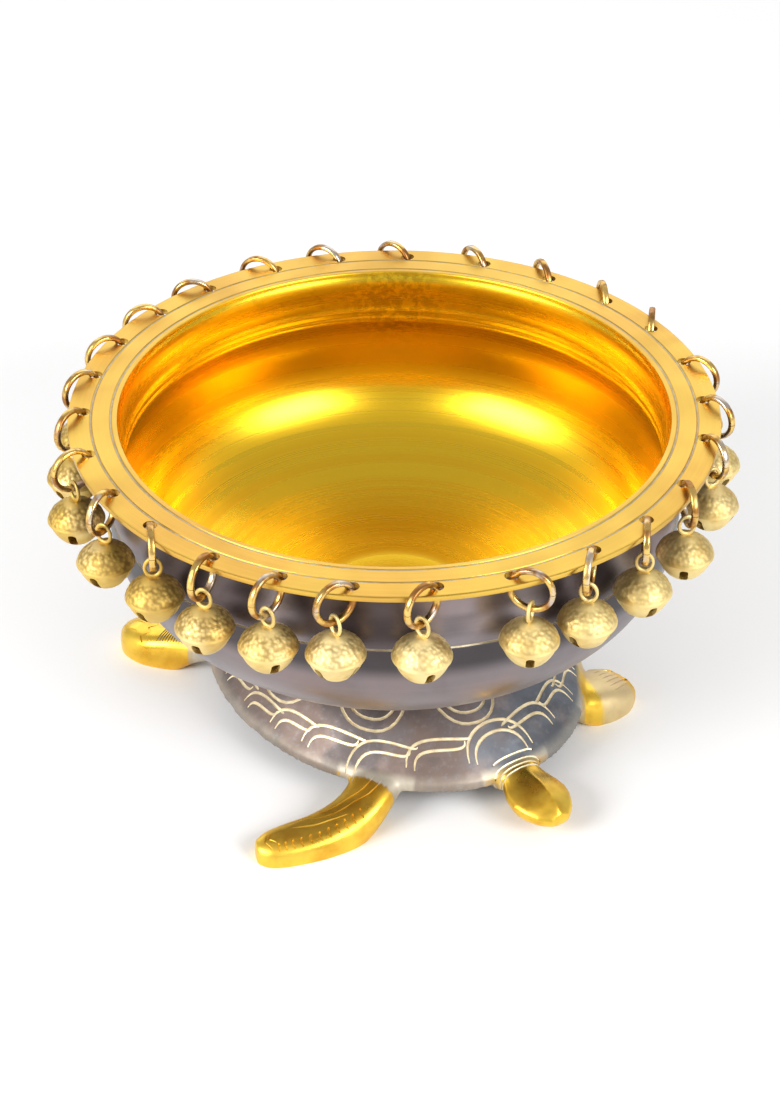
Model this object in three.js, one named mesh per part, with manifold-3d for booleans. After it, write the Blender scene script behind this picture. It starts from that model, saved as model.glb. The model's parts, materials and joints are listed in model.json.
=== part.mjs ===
// Urli bowl on a tortoise stand, with bells hung from its rim on jump rings.
// Millimetres, +Z up. The origin is on the ground under the bowl's axis, and the tortoise looks along -Y.

import * as THREE from 'three';
import { mergeVertices } from 'three/addons/utils/BufferGeometryUtils.js';
import Module from 'manifold-3d';

const wasm = await Module();
wasm.setup();

// Shared fits
const seatGap = 0.3;
const ringPlay = 0.35;

// Bowl
const rimHeight = 97;
const rimOverhang = 13;
const rimThickness = 1.6;
const mouthStep = 0.7;
const bowlWall = 1.8;
const neckRadius = 77;
const neckHeight = 16;
const bellySwell = 3.5;
const bellyDrop = 25.5;
const bowlDepth = 68;
const bellyFullness = 2.5;
const bowlFootRadius = 19;
const grooveInsets = [6.4, 11.8];
const grooveDepth = 0.45;
const bowlSides = 48;

// Rim holes, rings and bells
const holeInset = 4.2;
const holeSlack = 0.95;
const wireThickness = 1.5;
const wireWidth = 1.9;
const ringSlack = 1.5;
const ringSlit = 0.35;
const ringLean = 66;
const bellDiameter = 15.7;
const bellHeight = 12.6;
const bellWall = 0.75;
const bellSlotWidth = 1.7;
const bellSlotHeight = 1.7;
const bellDrop = 3.8;
const bellSides = 8;
const loopWire = 1;
const loopPlay = 0.7;
const loopStretch = 1.25;
const pelletDiameter = 3.6;
// Degrees: how far each hole was drilled off its even place, and how far its ring is turned from the radial plane
const hangs = [
  [0, 52],
  [0.7, 20],
  [0.6, 30],
  [-0.9, 54],
  [0, 5],
  [-0.8, -20],
  [-2.2, -48],
  [-1.9, -50],
  [-2.7, 50],
  [-0.3, -50],
  [-0.9, -54],
  [-1.2, -52],
  [0.9, -52],
  [0.2, -50],
  [0.4, -52],
  [0, 54],
  [-0.4, 54],
  [-0.2, 52],
  [0.2, 52],
  [2.1, 54],
  [2.2, 50],
  [1.7, 48],
  [3, 54],
  [2.2, 54],
  [1.6, 54],
  [0.6, 54],
];
const firstHoleAngle = 149;

// Tortoise shell
const shellLength = 128;
const shellWidth = 104;
const shellEdgeHeight = 11;
const shellLipThickness = 2.4;
const shellWall = 3;
const seatRadius = 22;
const domePower = 1.25;
// The shell that the limbs below are drawn on: they spread with it
const drawnLength = 128;
const drawnWidth = 104;

// Bolt and nut
const boltDiameter = 6;
const boltHoleSlack = 0.3;
const boltHeadDiameter = 12;
const boltHeadHeight = 3;
const nutAcross = 10;
const nutHeight = 5;
const bossDiameter = 15;
const bossDepth = 7;

const gold = { color: 0xe0a93a, roughness: 0.28, metalness: 1 };
const patina = { color: 0x857a78, roughness: 0.5, metalness: 0.8 };
const paleGold = { color: 0xd9bf7a, roughness: 0.5, metalness: 0.9 };
const wireGold = { color: 0xc49a4a, roughness: 0.35, metalness: 1 };
const steel = { color: 0x9a9a98, roughness: 0.4, metalness: 1 };

const radians = THREE.MathUtils.degToRad;
const rimRadius = neckRadius + rimOverhang;
const mouthRadius = neckRadius - mouthStep;
const bellyRadius = neckRadius + bellySwell;

// Welds a geometry, drops the empty triangles at its poles and hands it over for cutting and joining
function toSolid(geometry) {
  const bare = geometry.clone();
  bare.deleteAttribute('normal');
  bare.deleteAttribute('uv');
  const welded = mergeVertices(bare, 1e-4);
  const corners = [];
  for (let i = 0; i < welded.index.count; i += 3) {
    const [a, b, c] = [0, 1, 2].map((k) => welded.index.getX(i + k));
    if (a !== b && b !== c && c !== a) corners.push(a, b, c);
  }
  return new wasm.Manifold(
    new wasm.Mesh({
      numProp: 3,
      vertProperties: new Float32Array(welded.attributes.position.array),
      triVerts: new Uint32Array(corners),
    }),
  );
}

function toGeometry(solid) {
  const mesh = solid.getMesh();
  const geometry = new THREE.BufferGeometry();
  geometry.setAttribute('position', new THREE.BufferAttribute(mesh.vertProperties, 3));
  geometry.setIndex(new THREE.BufferAttribute(mesh.triVerts, 1));
  geometry.computeVertexNormals();
  return geometry;
}

function named(name, geometry, look) {
  const mesh = new THREE.Mesh(geometry, new THREE.MeshStandardMaterial(look));
  mesh.name = name;
  return mesh;
}

// Turns a profile of [radius, height] pairs about the Z axis
function turned(profile, sides) {
  const points = profile.map(([radius, height]) => new THREE.Vector2(radius, height));
  return new THREE.LatheGeometry(points, sides).rotateX(Math.PI / 2);
}

function cylinder(radius, low, high, sides = 24) {
  const geometry = new THREE.CylinderGeometry(radius, radius, high - low, sides);
  return geometry.rotateX(Math.PI / 2).translate(0, 0, (low + high) / 2);
}

// Quarter of a superellipse, from the foot's edge out to the widest point
function bellyCurve(radius, drop, middle, footRadius, count) {
  const power = 2 / bellyFullness;
  const start = Math.acos(Math.min(1, (footRadius / radius) ** (1 / power)));
  const curve = [];
  for (let i = 0; i <= count; i += 1) {
    const angle = start * (1 - i / count);
    curve.push([radius * Math.cos(angle) ** power, middle - drop * Math.sin(angle) ** power]);
  }
  return curve;
}

function groove(inset) {
  const radius = rimRadius - inset;
  return [
    [radius + grooveDepth, rimHeight],
    [radius, rimHeight - grooveDepth],
    [radius - grooveDepth, rimHeight],
  ];
}

const bowlBottom = rimHeight - bowlDepth;
const bowlFloor = bowlBottom + bowlWall;

function makeBowl() {
  const middle = rimHeight - bellyDrop;
  const outerDrop = middle - bowlBottom;
  const outer = bellyCurve(bellyRadius, outerDrop, middle, bowlFootRadius, 6);
  outer[0][1] = bowlBottom;
  const inner = bellyCurve(bellyRadius - bowlWall, outerDrop - bowlWall, middle, bowlFootRadius, 5);
  inner[0][1] = bowlFloor;
  const neckFoot = rimHeight - neckHeight;
  const profile = [
    [0, bowlBottom],
    ...outer,
    [neckRadius + 1.3, neckFoot],
    [neckRadius, (neckFoot + rimHeight) / 2],
    [neckRadius + 1, rimHeight - rimThickness],
    [rimRadius, rimHeight - rimThickness],
    [rimRadius, rimHeight],
    ...grooveInsets.flatMap(groove),
    [mouthRadius, rimHeight],
    [neckRadius - bowlWall + 0.4, rimHeight - 1],
    [neckRadius - bowlWall, (neckFoot + rimHeight) / 2],
    [neckRadius - bowlWall + 1.2, neckFoot],
    ...inner.reverse(),
    [0, bowlFloor],
  ];
  const holes = [];
  for (const hang of hangPlaces()) {
    const drill = cylinder(holeRadius, rimHeight - 2 * rimThickness, rimHeight + 1, 8);
    const [x, y] = around(holeCircle, hang.angle);
    holes.push(toSolid(drill.translate(x, y, 0)));
  }
  const boltHole = toSolid(cylinder(boltDiameter / 2 + boltHoleSlack, 0, bowlFloor + 1, 16));
  return toGeometry(toSolid(turned(profile, bowlSides)).subtract(wasm.Manifold.union([...holes, boltHole])));
}

// Rings
const ringInner = holeInset + ringSlack / 2;
const ringOuter = ringInner + wireThickness;
const ringMean = (ringOuter + ringInner) / 2;
const ringOut = ringMean * Math.sin(radians(ringLean));
const ringDrop = ringMean * Math.cos(radians(ringLean)) + rimThickness / 2;
const holeRadius = wireWidth / 2 + holeSlack;
const holeCircle = rimRadius - holeInset;

function around(radius, degrees) {
  return [radius * Math.cos(radians(degrees)), radius * Math.sin(radians(degrees))];
}

// Turns a ring from the radial plane as far as asked, or as far as the rim's edge lets it
function clearTwist(asked) {
  const room = ringOut + Math.sqrt((ringInner - ringPlay) ** 2 - ringDrop ** 2);
  let twist = Math.abs(asked);
  while (twist > 0) {
    const across = holeCircle * Math.cos(radians(twist));
    const reach = Math.sqrt(across ** 2 + rimRadius ** 2 - holeCircle ** 2) - across;
    if (reach + (wireWidth / 2) * Math.tan(radians(twist)) < room) break;
    twist -= 1;
  }
  return Math.sign(asked) * twist;
}

function hangPlaces() {
  return hangs.map(([drift, twist], index) => ({
    number: index + 1,
    angle: firstHoleAngle + (360 / hangs.length) * index + drift,
    twist: clearTwist(twist),
  }));
}

class RingPath extends THREE.Curve {
  getPoint(t, target = new THREE.Vector3()) {
    const slit = ringSlit / ringMean;
    const angle = slit / 2 + t * (2 * Math.PI - slit);
    return target.set(ringMean * Math.cos(angle), 0, ringMean * Math.sin(angle));
  }
}

// A jump ring in the XZ plane, bent from flattened wire and split where its two ends meet
function makeRing() {
  const [w, h] = [wireWidth / 2, wireThickness / 2];
  const crown = 0.6;
  const outline = [[-crown * w, h], [crown * w, h], [w, -h], [-w, -h]];
  const wire = new THREE.Shape(outline.map(([x, y]) => new THREE.Vector2(x, y)));
  const settings = { steps: 12, bevelEnabled: false, extrudePath: new RingPath() };
  return toGeometry(toSolid(new THREE.ExtrudeGeometry(wire, settings)));
}

const loopInner = wireWidth / 2 + loopPlay;
const loopDrop = loopInner * loopStretch - wireThickness / 2 - ringPlay;

// A hollow bell hanging below the wire it is hung on, which passes through the origin along X
function makeBell() {
  const radius = bellDiameter / 2;
  const floor = -bellDrop - bellHeight;
  const outside = [
    [0, floor],
    [0.42 * radius, floor],
    [0.76 * radius, floor + 0.22 * bellHeight],
    [radius, floor + 0.5 * bellHeight],
    [0.74 * radius, floor + 0.83 * bellHeight],
    [0.3 * radius, floor + bellHeight],
    [0, floor + bellHeight],
  ];
  const inside = [
    [0, floor + bellWall],
    [0.4 * radius, floor + bellWall],
    [radius - bellWall, floor + 0.5 * bellHeight],
    [0, floor + bellHeight - 1.6 * bellWall],
  ];
  const slot = new THREE.BoxGeometry(bellDiameter, bellSlotWidth, bellSlotHeight);
  slot.translate(0, 0, floor + 0.13 * bellHeight);
  const crossSlot = slot.clone().rotateZ(Math.PI / 2);
  const pellet = new THREE.OctahedronGeometry(pelletDiameter / 2);
  pellet.translate(0.9, 0.9, floor + bellWall + 0.42 * pelletDiameter);
  const turn = Math.PI / bellSides;
  const hollow = toSolid(turned(inside, bellSides).rotateZ(turn));
  const body = toSolid(turned(outside, bellSides).rotateZ(turn));
  const shell = body.add(toSolid(loopGeometry())).subtract(hollow);
  return toGeometry(shell.subtract(toSolid(slot)).subtract(toSolid(crossSlot)).add(toSolid(pellet)));
}

function loopGeometry() {
  const middle = loopInner + loopWire / 2;
  const profile = [];
  for (let i = 0; i <= 4; i += 1) {
    const angle = (i / 4) * 2 * Math.PI;
    profile.push([middle + (loopWire / 2) * Math.cos(angle), (loopWire / 2) * Math.sin(angle)]);
  }
  const standing = turned(profile, 8).rotateZ(Math.PI / 2).rotateY(Math.PI / 2);
  return standing.scale(1, 1, loopStretch).translate(0, 0, -loopDrop);
}

// Skins a form over oval sections: each has its middle, its heading in plan, half its width and its height span
function lofted(sections, sides) {
  const geometry = new THREE.CylinderGeometry(1, 1, 1, sides, sections.length - 1);
  const position = geometry.attributes.position;
  const point = new THREE.Vector3();
  for (let i = 0; i < position.count; i += 1) {
    point.fromBufferAttribute(position, i);
    const step = Math.round((0.5 - point.y) * (sections.length - 1));
    const { x, y, heading, half, low, high, bulge = 0.75 } = sections[step];
    const size = Math.hypot(point.x, point.z);
    const sideways = size && Math.sign(point.x) * Math.abs(point.x) ** bulge;
    const upwards = size && Math.sign(point.z) * Math.abs(point.z) ** bulge;
    const [hx, hy] = around(1, heading);
    const lift = (low + high) / 2 + (upwards * (high - low)) / 2;
    position.setXYZ(i, x - hy * sideways * half, y + hx * sideways * half, Math.max(lift, Math.max(0, low)));
  }
  return geometry;
}

// Flippers, head and tail of the tortoise: [x, y, heading, half width, underside, top]
const limbs = {
  rightFront: [
    [-26, -38, 215, 7, 6, 14],
    [-37, -46, 203, 7.2, 3, 12.5],
    [-46, -49.5, 183, 6.6, -3, 9.5],
    [-55, -49.8, 175, 6, -4, 7.4],
    [-64, -48, 168, 5.6, -4, 6.4],
    [-70.5, -46, 162, 4.6, -4, 6],
    [-74, -44.8, 160, 2.2, -2, 5],
  ],
  leftFront: [
    [25, -36, -50, 7, 6, 14],
    [34.5, -41, -30, 8, 2, 12.5],
    [42, -42, -8, 8.6, -4, 10.4],
    [48.5, -41.5, 8, 8.2, -4, 8.6],
    [53.5, -40.5, 14, 5.4, -3, 7],
  ],
  rightHind: [
    [-33, 28, 145, 6.5, 6, 14],
    [-43, 37.5, 132, 5.6, 4, 12.5],
    [-48.5, 45, 120, 6, -3, 11],
    [-51.8, 52, 112, 7.8, -4, 9.6],
    [-53.8, 58.5, 106, 7.2, -4, 8.4],
    [-54.8, 63, 104, 4, -3, 6.4],
  ],
  tail: [
    [0, 52, 90, 6, 5, 12.5],
    [0, 62, 90, 4.6, 3.5, 10.5],
    [0, 70, 90, 3, 2.5, 8],
    [0, 77, 90, 0.9, 2, 4.2],
  ],
  head: [
    [0, -50, -90, 9, 5, 14.5],
    [0, -61, -90, 7.6, 4.2, 13.4],
    [0, -64.5, -90, 6.2, 4.8, 13],
    [0, -69, -90, 8, 4, 13.6],
    [0, -75, -90, 8.6, 3.6, 13.4],
    [0, -80.5, -90, 6.4, 4.2, 11.8],
    [0, -84, -90, 3, 5.4, 9.4],
  ],
};

function limb(stations, mirrored = 1) {
  const sections = stations.map(([x, y, heading, half, low, high]) => ({
    x: (mirrored * x * shellWidth) / drawnWidth,
    y: (y * shellLength) / drawnLength,
    heading: mirrored > 0 ? heading : 180 - heading,
    half,
    low,
    high,
  }));
  return toSolid(lofted(sections, 10));
}

const shellTop = bowlBottom - seatGap;

// Dome height at a share of the way from the shell's middle to its edge
function domeHeight(share, edge, top) {
  const flat = (2 * seatRadius) / shellWidth;
  const run = Math.max(0, (share - flat) / (1 - flat));
  return edge + (top - edge) * Math.cos((Math.PI / 2) * run ** domePower);
}

function domeProfile(length, edge, top, base, rows) {
  const flat = (2 * seatRadius) / shellWidth;
  const profile = [[0, base], [length / 2, base]];
  for (let i = 0; i <= rows; i += 1) {
    const share = 1 - ((1 - flat) * i) / rows;
    profile.push([(length / 2) * share, domeHeight(share, edge, top)]);
  }
  return [...profile, [0, top]];
}

function squeezed(geometry, length, width) {
  return geometry.scale(width / length, 1, 1);
}

function makeTortoise() {
  const base = shellEdgeHeight - shellLipThickness;
  const belowGround = -1;
  const outside = turned(domeProfile(shellLength, shellEdgeHeight, shellTop, base, 7), 40);
  const innerLength = shellLength - 2 * shellWall;
  const innerWidth = shellWidth - 2 * shellWall;
  const innerTop = shellTop - shellWall;
  const inside = turned(domeProfile(innerLength, base + 0.4, innerTop, belowGround, 5), 32);
  const dome = toSolid(squeezed(outside, shellLength, shellWidth));
  const cavity = toSolid(squeezed(inside, innerLength, innerWidth));
  const body = wasm.Manifold.union([
    dome.subtract(cavity),
    limb(limbs.rightFront),
    limb(limbs.leftFront),
    limb(limbs.rightHind),
    limb(limbs.rightHind, -1),
    limb(limbs.tail),
    limb(limbs.head),
    toSolid(cylinder(bossDiameter / 2, innerTop - bossDepth, innerTop + 1, 20)),
  ]);
  const boltHole = toSolid(cylinder(boltDiameter / 2 + boltHoleSlack, 0, shellTop + 1, 16));
  return toGeometry(body.subtract(boltHole));
}

const nutTop = shellTop - shellWall - bossDepth - seatGap;

function makeBolt() {
  const radius = boltDiameter / 2;
  const seat = bowlFloor + seatGap;
  const tip = nutTop - nutHeight - 2;
  const profile = [
    [0, tip],
    [radius - 0.6, tip],
    [radius, tip + 0.6],
    [radius, seat],
    [boltHeadDiameter / 2, seat],
    [boltHeadDiameter / 2, seat + 0.3 * boltHeadHeight],
    [0.8 * (boltHeadDiameter / 2), seat + 0.75 * boltHeadHeight],
    [0.4 * (boltHeadDiameter / 2), seat + boltHeadHeight],
    [0, seat + boltHeadHeight],
  ];
  const slot = new THREE.BoxGeometry(boltHeadDiameter + 1, 1.2, 2.4).translate(0, 0, seat + boltHeadHeight);
  return toGeometry(toSolid(turned(profile, 16)).subtract(toSolid(slot)));
}

function makeNut() {
  const corner = nutAcross / Math.sqrt(3);
  const hexagon = toSolid(cylinder(corner, nutTop - nutHeight, nutTop, 6));
  const bore = toSolid(cylinder(boltDiameter / 2 + boltHoleSlack, nutTop - nutHeight - 1, nutTop + 1, 16));
  return toGeometry(hexagon.subtract(bore));
}

// One ring and its bell, placed at a rim hole
function makeHanger(place, ringGeometry, bellGeometry) {
  const tag = String(place.number).padStart(2, '0');
  const hole = new THREE.Group();
  hole.position.set(...around(holeCircle, place.angle), rimHeight);
  hole.rotation.z = radians(place.angle + place.twist);
  const ring = named(`ring_${tag}`, ringGeometry, wireGold);
  ring.position.set(ringOut, 0, -ringDrop);
  const bell = named(`bell_${tag}`, bellGeometry, paleGold);
  bell.position.set(ringOut, 0, -ringDrop - ringMean);
  hole.add(ring, bell);
  return hole;
}

const urli = new THREE.Group();
urli.add(named('bowl', makeBowl(), gold));
urli.add(named('tortoise_stand', makeTortoise(), patina));
urli.add(named('centre_bolt', makeBolt(), steel));
urli.add(named('bolt_nut', makeNut(), steel));

const ringGeometry = makeRing();
const bellGeometry = makeBell();
for (const place of hangPlaces()) urli.add(makeHanger(place, ringGeometry, bellGeometry));

export default urli;
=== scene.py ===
"""Urli bowl on a tortoise stand, with bells hung from its rim on jump rings."""

import json
import math

import bpy
import numpy as np
from mathutils import Matrix, Vector


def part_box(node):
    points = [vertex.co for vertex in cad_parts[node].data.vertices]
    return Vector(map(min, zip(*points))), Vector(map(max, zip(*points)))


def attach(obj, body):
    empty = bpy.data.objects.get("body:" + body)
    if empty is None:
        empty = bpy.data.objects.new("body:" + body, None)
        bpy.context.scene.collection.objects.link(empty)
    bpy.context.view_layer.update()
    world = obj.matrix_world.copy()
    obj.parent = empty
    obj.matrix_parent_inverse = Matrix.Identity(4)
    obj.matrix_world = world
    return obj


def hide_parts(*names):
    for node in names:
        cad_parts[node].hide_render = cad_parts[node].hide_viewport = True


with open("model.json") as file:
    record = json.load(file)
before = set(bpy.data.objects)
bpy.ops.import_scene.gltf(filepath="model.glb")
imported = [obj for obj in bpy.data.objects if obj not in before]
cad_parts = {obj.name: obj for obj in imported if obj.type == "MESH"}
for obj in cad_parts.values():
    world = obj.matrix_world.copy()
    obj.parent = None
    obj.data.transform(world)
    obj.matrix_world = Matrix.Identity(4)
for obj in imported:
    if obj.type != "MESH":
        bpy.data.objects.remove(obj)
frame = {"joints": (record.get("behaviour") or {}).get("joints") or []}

bl_info = {
    "name": "Urli bowl",
    "version": (1, 0, 0),
    "blender": (4, 5, 0),
    "location": "View3D > Sidebar > Urli",
    "description": "Models a brass urli bowl on a cast tortoise, with the bells that hang from its rim",
    "category": "Add Mesh",
}

MM = 0.001
GOLDEN_TURN = math.radians(137.5)
BOLT_HOLE = 3.3 * MM
# From the rim's edge in to each of the two lines that are cut into the rim
RIM_LINES = (6.4 * MM, 11.8 * MM)
# The camera stands this far round from straight in front
CAMERA_TURN = math.radians(33)
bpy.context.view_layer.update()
bowl_low, bowl_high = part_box("bowl")
_, stand_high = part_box("tortoise_stand")
bolt_low, bolt_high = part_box("centre_bolt")
nut_low, nut_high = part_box("bolt_nut")


def length(name, description, default):
    """A size in metres that the user may change."""
    return bpy.props.FloatProperty(
        name=name,
        description=description,
        default=default,
        min=0.0,
        precision=5,
        subtype="DISTANCE",
        unit="LENGTH",
    )


def count(name, description, default):
    return bpy.props.IntProperty(name=name, description=description, default=default, min=3)


def colour(name, description, default):
    return bpy.props.FloatVectorProperty(
        name=name, description=description, default=default, size=3, min=0.0, max=1.0, subtype="COLOR"
    )


class UrliBowlSizes(bpy.types.PropertyGroup):
    """Sizes of the bowl."""

    rim_radius: length("Rim radius", "From the axis to the rim's edge", (bowl_high.y - bowl_low.y) / 2)
    rim_height: length("Rim height", "From the ground to the top of the rim", bowl_high.z)
    rim_thickness: length("Rim thickness", "Thickness of the flat rim", 1.6 * MM)
    mouth_radius: length("Mouth radius", "Radius of the opening inside the rim", 76.3 * MM)
    wall: length("Wall", "Thickness of the bowl's wall", 1.8 * MM)
    neck_radius: length("Neck radius", "Outside radius at the narrowest place under the rim", 77 * MM)
    neck_height: length("Neck height", "From the rim's top down to the neck's foot", 16 * MM)
    belly_radius: length("Belly radius", "Outside radius at the widest place", 80.5 * MM)
    belly_drop: length("Belly drop", "From the rim's top down to the widest place", 25.5 * MM)
    foot_radius: length("Foot radius", "Radius of the flat place under the bowl", 19 * MM)
    hole_radius: length("Hole radius", "Radius of the holes in the rim", 1.9 * MM)
    belly_line: length("Belly line", "Height of the line that is cut round the belly", 73.3 * MM)
    sides: count("Sides", "Steps round the bowl", 240)


class UrliStandSizes(bpy.types.PropertyGroup):
    """Sizes of the cast tortoise."""

    shell_length: length("Shell length", "Length of the shell, from front to back", 128 * MM)
    shell_width: length("Shell width", "Width of the shell", 104 * MM)
    edge_height: length("Edge height", "Height of the shell's upper edge", 11 * MM)
    lip: length("Lip", "Height of the shell's plain edge", 2.4 * MM)
    wall: length("Wall", "Thickness of the shell", 3 * MM)
    top: length("Top", "Height of the flat place under the bowl", stand_high.z)
    seat_radius: length("Seat radius", "Radius of that flat place, across the shell", 22 * MM)
    grain: length("Grain", "Size of the faces of the cast surface", 0.72 * MM)
    line_radius: length("Line radius", "Half the width of an engraved line", 0.47 * MM)


class UrliHangerSizes(bpy.types.PropertyGroup):
    """Sizes of the jump rings and bells."""

    ring_mean: length("Ring radius", "From a ring's middle to the middle of its wire", 5.7 * MM)
    wire_thickness: length("Wire thickness", "Thickness of the flattened wire", 1.5 * MM)
    wire_width: length("Wire width", "Width of the flattened wire", 1.9 * MM)
    ring_slit: length("Ring slit", "Gap between a ring's two ends", 0.12 * MM)
    bell_diameter: length("Bell diameter", "Widest place of a bell", 15.7 * MM)
    bell_height: length("Bell height", "Height of a bell without its loop", 12.6 * MM)
    bell_drop: length("Bell drop", "From the ring's wire down to the bell's top", 3.8 * MM)
    bell_wall: length("Bell wall", "Thickness of a bell's wall", 0.75 * MM)
    loop_wire: length("Loop wire", "Thickness of a bell's loop", 1.0 * MM)
    pellet: length("Pellet", "Diameter of the pellet in a bell", 3.6 * MM)


class UrliColours(bpy.types.PropertyGroup):
    """Colours of the finishes."""

    rim: colour("Rim", "Satin brass of the rim", (0.67, 0.43, 0.075))
    inside: colour("Inside", "Polished brass of the bowl's inside", (0.87, 0.57, 0.022))
    patina: colour("Patina", "Grey patina of the bowl's outside", (0.235, 0.2, 0.195))
    shell_warm: colour("Warm patina", "Brown side of the tortoise's patina", (0.2, 0.148, 0.125))
    shell_cool: colour("Cool patina", "Grey side of the tortoise's patina", (0.15, 0.165, 0.19))
    gilt: colour("Rubbed brass", "Brass of the head and flippers", (0.84, 0.53, 0.06))
    engraving: colour("Engraving", "Bare brass in an engraved line", (0.90, 0.80, 0.58))
    wire: colour("Wire", "Brass of the jump rings", (0.66, 0.42, 0.12))
    bell: colour("Bell", "Brass of the bells", (0.82, 0.65, 0.27))
    steel: colour("Fastener", "Plated steel of the bolt and nut", (0.56, 0.54, 0.50))
    floor: colour("Floor", "The pale floor", (0.86, 0.86, 0.86))


# Modelling helpers


def clear_selection():
    """Go to object mode with nothing selected."""
    if bpy.context.mode != "OBJECT":
        bpy.ops.object.mode_set(mode="OBJECT")
    bpy.ops.object.select_all(action="DESELECT")


def pick(obj):
    clear_selection()
    bpy.context.view_layer.objects.active = obj
    obj.select_set(True)


def edit(obj):
    """Open an object in edit mode with all of it selected."""
    pick(obj)
    bpy.ops.object.mode_set(mode="EDIT")
    bpy.ops.mesh.select_all(action="SELECT")


def edited():
    """Leave edit mode, and give the object that was edited."""
    bpy.ops.object.mode_set(mode="OBJECT")
    return bpy.context.object


def named(obj, name):
    obj.name = obj.data.name = name
    return obj


def draw_line(points):
    """A line of edges drawn by extruding one vertex from place to place, left in edit mode."""
    clear_selection()
    bpy.ops.mesh.primitive_plane_add(size=MM, enter_editmode=True)
    bpy.ops.mesh.merge(type="CENTER")
    bpy.ops.transform.translate(value=points[0])
    for here, there in zip(points, points[1:]):
        step = [b - a for a, b in zip(here, there)]
        bpy.ops.mesh.extrude_vertices_move(TRANSFORM_OT_translate={"value": step})


def close_up():
    """Merge doubled vertices and point the faces outwards, then leave edit mode."""
    bpy.ops.mesh.select_all(action="SELECT")
    bpy.ops.mesh.remove_doubles(threshold=0.002 * MM)
    bpy.ops.mesh.normals_make_consistent(inside=False)
    return edited()


def turned(profile, steps):
    """Spin a profile of (radius, height) points about the Z axis."""
    draw_line([(radius, 0.0, height) for radius, height in profile])
    bpy.ops.mesh.select_all(action="SELECT")
    bpy.ops.mesh.spin(steps=steps, angle=2 * math.pi, center=(0, 0, 0), axis=(0, 0, 1))
    return close_up()


def rod(radius, depth, place, vertices=48):
    """An upright cylinder with its middle at a place."""
    clear_selection()
    bpy.ops.mesh.primitive_cylinder_add(vertices=vertices, radius=radius, depth=depth, location=place)
    return bpy.context.object


def apply_modifier(obj, kind, **settings):
    pick(obj)
    bpy.ops.object.modifier_add(type=kind)
    modifier = obj.modifiers[-1]
    for key, value in settings.items():
        setattr(modifier, key, value)
    bpy.ops.object.modifier_apply(modifier=modifier.name)


def apply_place():
    bpy.ops.object.transform_apply(location=True, rotation=True, scale=True)


def cut(obj, cutter, operation="DIFFERENCE"):
    """Cut obj with another object, which is used up. The cut faces keep the cutter's material number."""
    before = len(obj.data.vertices)
    apply_modifier(obj, "BOOLEAN", object=cutter, operation=operation, solver="MANIFOLD")
    bpy.data.objects.remove(cutter)
    if len(obj.data.vertices) in (0, before):
        raise RuntimeError(f"{obj.name} was not cut")


def joined(objects):
    pick(objects[0])
    for obj in objects[1:]:
        obj.select_set(True)
    bpy.ops.object.join()
    return bpy.context.object


def moved_copy(model, name, place):
    """A copy of a model with its own mesh, its place in its vertices."""
    copy = bpy.data.objects.new(name, model.data.copy())
    copy.data.name = name
    copy.data.transform(place)
    bpy.context.collection.objects.link(copy)
    return copy


def delete(obj):
    pick(obj)
    bpy.ops.object.delete()


def smooth(obj, degrees=32):
    pick(obj)
    bpy.ops.object.shade_smooth_by_angle(angle=math.radians(degrees))


def set_materials(obj, materials):
    obj.data.materials.clear()
    for material in materials:
        obj.data.materials.append(material)


def set_faces(obj, number_of):
    """Give each face the material number that number_of says for its middle and normal."""
    for face in obj.data.polygons:
        face.material_index = number_of(face.center, face.normal)


def points_of(mesh):
    flat = np.empty(len(mesh.vertices) * 3, np.float32)
    mesh.vertices.foreach_get("co", flat)
    return flat.reshape(-1, 3).astype(float)


def set_attribute(obj, name, values):
    layer = obj.data.attributes.new(name, "FLOAT", "POINT")
    layer.data.foreach_set("value", np.asarray(values, np.float32))


def set_group(obj, name, weights):
    """A vertex group with its weights rounded to hundredths."""
    group = obj.vertex_groups.new(name=name)
    levels = np.round(weights, 2)
    for level in np.unique(levels):
        if level > 0:
            group.add(np.flatnonzero(levels == level).tolist(), float(level), "REPLACE")


def spline(before, here, there, after, f):
    """The point at share f of the way from here to there, on a smooth curve through all four."""
    return 0.5 * (
        2 * here
        + (there - before) * f
        + (2 * before - 5 * here + 4 * there - after) * f**2
        + (3 * here - before - 3 * there + after) * f**3
    )


def ease(value, low, high):
    """0 below low, 1 above high, and smooth between them."""
    t = np.clip((value - low) / (high - low), 0, 1)
    return t * t * (3 - 2 * t)


# Materials


def shade(base, factor, tint=(1.0, 1.0, 1.0)):
    return tuple(min(1.0, c * factor * t) for c, t in zip(base, tint))


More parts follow.
